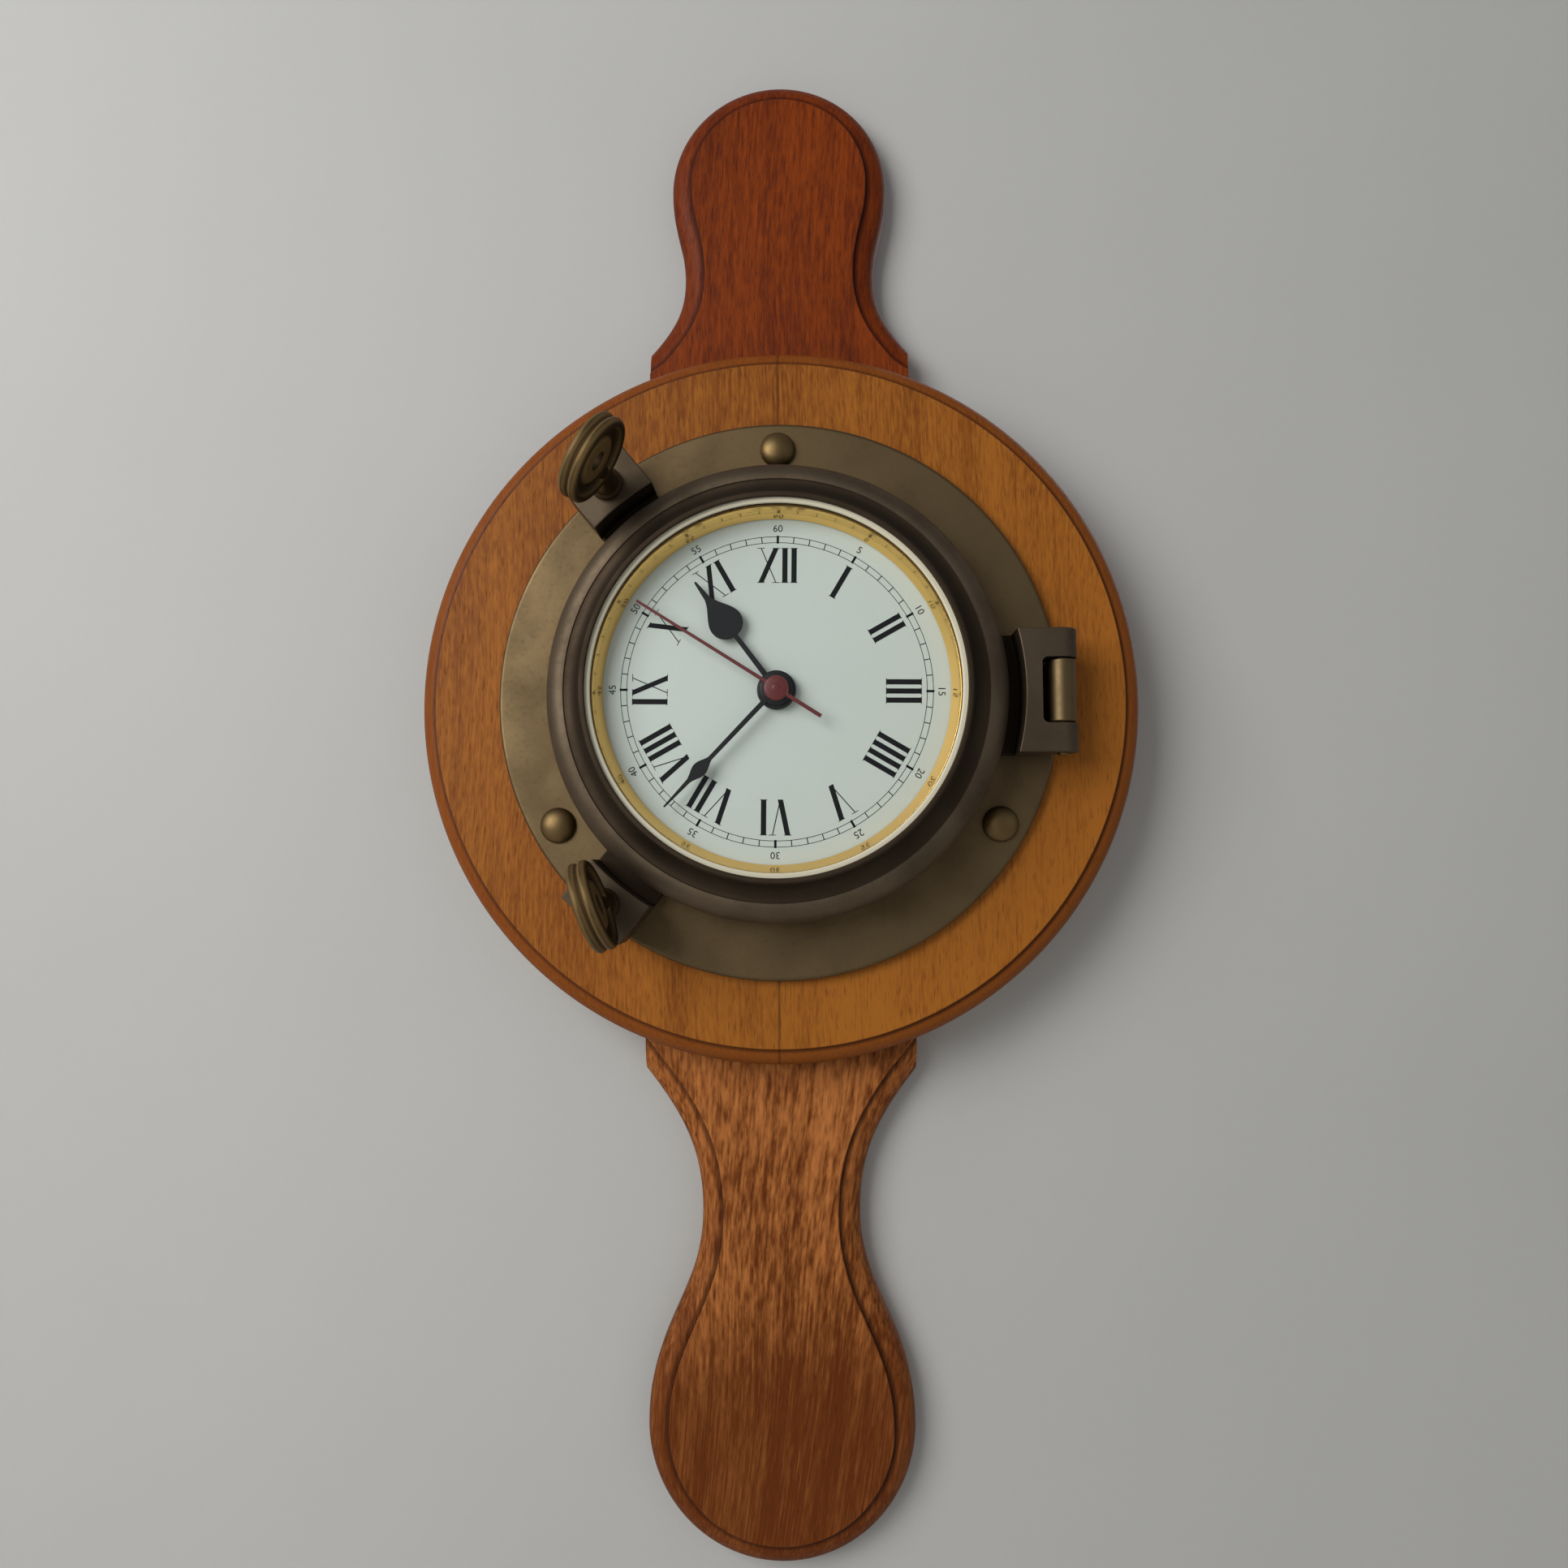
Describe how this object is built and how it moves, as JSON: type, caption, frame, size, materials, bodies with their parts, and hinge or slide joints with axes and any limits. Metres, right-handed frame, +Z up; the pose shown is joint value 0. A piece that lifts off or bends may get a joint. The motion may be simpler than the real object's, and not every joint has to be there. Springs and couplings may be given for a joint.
{
  "type": "porthole wall clock",
  "caption": "Wall clock in a bronze porthole with a hinged glazed door and screw dogs, on a moulded wooden back board, with a quartz wheel train behind the dial.",
  "frame": {"origin": "hanging point on the wall plane, where the stem of the keyhole bears on the wall screw", "axes": "+Z up towards twelve, +X to the right seen from the front, -Y out of the wall towards the viewer"},
  "size_m": [0.1956, 0.0716, 0.4177],
  "materials": {
    "disc_wood": "satin varnish, golden brown with straight grain",
    "upper_wood": "satin varnish, red mahogany",
    "lower_wood": "satin varnish, brown mahogany with dark pores",
    "bronze": "antiqued bronze, worn at edges",
    "brass": "plain brass",
    "gold": "polished gold lacquer",
    "cream_seal": "cream moulded seal",
    "clear_glass": "clear flat glass",
    "dial_white": "matt white enamel with black printing",
    "black_lacquer": "black lacquer",
    "red_lacquer": "red-brown lacquer",
    "steel": "zinc-plated steel",
    "dark_plastic": "black moulded plastic",
    "white_plastic": "natural acetal",
    "black_rubber": "matt rubber",
    "copper_wire": "enamelled copper winding",
    "circuit_green": "solder mask",
    "cell_jacket": "plain cell jacket"
  },
  "bodies": {
    "back_board": {"disc_board": "disc_wood", "upper_paddle": "upper_wood", "lower_paddle": "lower_wood", "board_screw_1": "steel", "board_screw_2": "steel", "board_screw_3": "steel", "board_screw_4": "steel", "hanger_plate": "steel", "hanger_screw_1": "steel", "hanger_screw_2": "steel", "porthole_frame": "bronze", "frame_screw_1": "bronze", "frame_screw_2": "bronze", "frame_screw_3": "bronze", "dial": "dial_white", "dial_surround": "gold", "movement_case": "dark_plastic", "movement_cover": "dark_plastic", "rubber_washer": "black_rubber", "fixing_nut": "brass", "battery": "cell_jacket", "positive_contact": "steel", "negative_contact": "steel", "motor_stator": "steel", "motor_coil": "copper_wire", "circuit_board": "circuit_green"},
    "door": {"door_ring": "bronze", "hinge_pin": "brass", "door_glass": "clear_glass", "glass_seal": "cream_seal", "glass_spring_ring": "brass"},
    "upper_dog": {"dog_screw_upper": "bronze"},
    "lower_dog": {"dog_screw_lower": "bronze"},
    "minute": {"minute_hand": "black_lacquer", "cannon_pinion": "brass"},
    "hour": {"hour_hand": "black_lacquer", "hour_wheel": "white_plastic"},
    "motion": {"motion_wheel": "white_plastic"},
    "setting": {"setting_knob": "dark_plastic"},
    "seconds": {"second_hand": "red_lacquer", "second_wheel": "brass"},
    "third": {"third_wheel": "brass"},
    "centre": {"centre_wheel": "brass"},
    "step": {"step_wheel": "white_plastic"},
    "rotor": {"motor_rotor": "steel"}
  },
  "joints": [
    {"name": "door_hinge", "type": "hinge", "parent": "back_board", "child": "door", "pos_m": [0.0735, -0.0362, -0.154], "axis": [0, 0, 1], "range_deg": [0, 115]},
    {"name": "upper_dog_turn", "type": "hinge", "parent": "door", "child": "upper_dog", "pos_m": [-0.04415, -0.04, -0.09968], "axis": [0, -1, 0], "range_deg": [0, 720]},
    {"name": "lower_dog_turn", "type": "hinge", "parent": "door", "child": "lower_dog", "pos_m": [-0.04415, -0.04, -0.20832], "axis": [0, -1, 0], "range_deg": [0, 720]},
    {"name": "minute_turn", "type": "hinge", "parent": "back_board", "child": "minute", "pos_m": [0, -0.043, -0.154], "axis": [0, 1, 0], "continuous": true},
    {"name": "hour_turn", "type": "hinge", "parent": "back_board", "child": "hour", "pos_m": [0, -0.042, -0.154], "axis": [0, 1, 0], "continuous": true},
    {"name": "motion_turn", "type": "hinge", "parent": "back_board", "child": "motion", "pos_m": [0.00846, -0.034, -0.15092], "axis": [0, 1, 0], "continuous": true},
    {"name": "setting_turn", "type": "hinge", "parent": "back_board", "child": "setting", "pos_m": [0.01746, -0.02, -0.15092], "axis": [0, 1, 0], "continuous": true},
    {"name": "seconds_turn", "type": "hinge", "parent": "back_board", "child": "seconds", "pos_m": [0, -0.045, -0.154], "axis": [0, 1, 0], "continuous": true},
    {"name": "third_turn", "type": "hinge", "parent": "back_board", "child": "third", "pos_m": [-0.01205, -0.028, -0.15188], "axis": [0, 1, 0], "continuous": true},
    {"name": "centre_turn", "type": "hinge", "parent": "back_board", "child": "centre", "pos_m": [0, -0.031, -0.154], "axis": [0, 1, 0], "continuous": true},
    {"name": "step_turn", "type": "hinge", "parent": "back_board", "child": "step", "pos_m": [0.00595, -0.028, -0.14369], "axis": [0, 1, 0], "continuous": true},
    {"name": "rotor_turn", "type": "hinge", "parent": "back_board", "child": "rotor", "pos_m": [0.01003, -0.026, -0.13663], "axis": [0, 1, 0], "continuous": true}
  ],
  "couplings": [
    {"joint": "hour_turn", "follows": "minute_turn", "ratio": 0.083333},
    {"joint": "motion_turn", "follows": "minute_turn", "ratio": -0.33333},
    {"joint": "setting_turn", "follows": "minute_turn", "ratio": 1},
    {"joint": "third_turn", "follows": "seconds_turn", "ratio": -0.13333},
    {"joint": "centre_turn", "follows": "seconds_turn", "ratio": 0.016667},
    {"joint": "step_turn", "follows": "seconds_turn", "ratio": -6},
    {"joint": "rotor_turn", "follows": "seconds_turn", "ratio": 30}
  ]
}
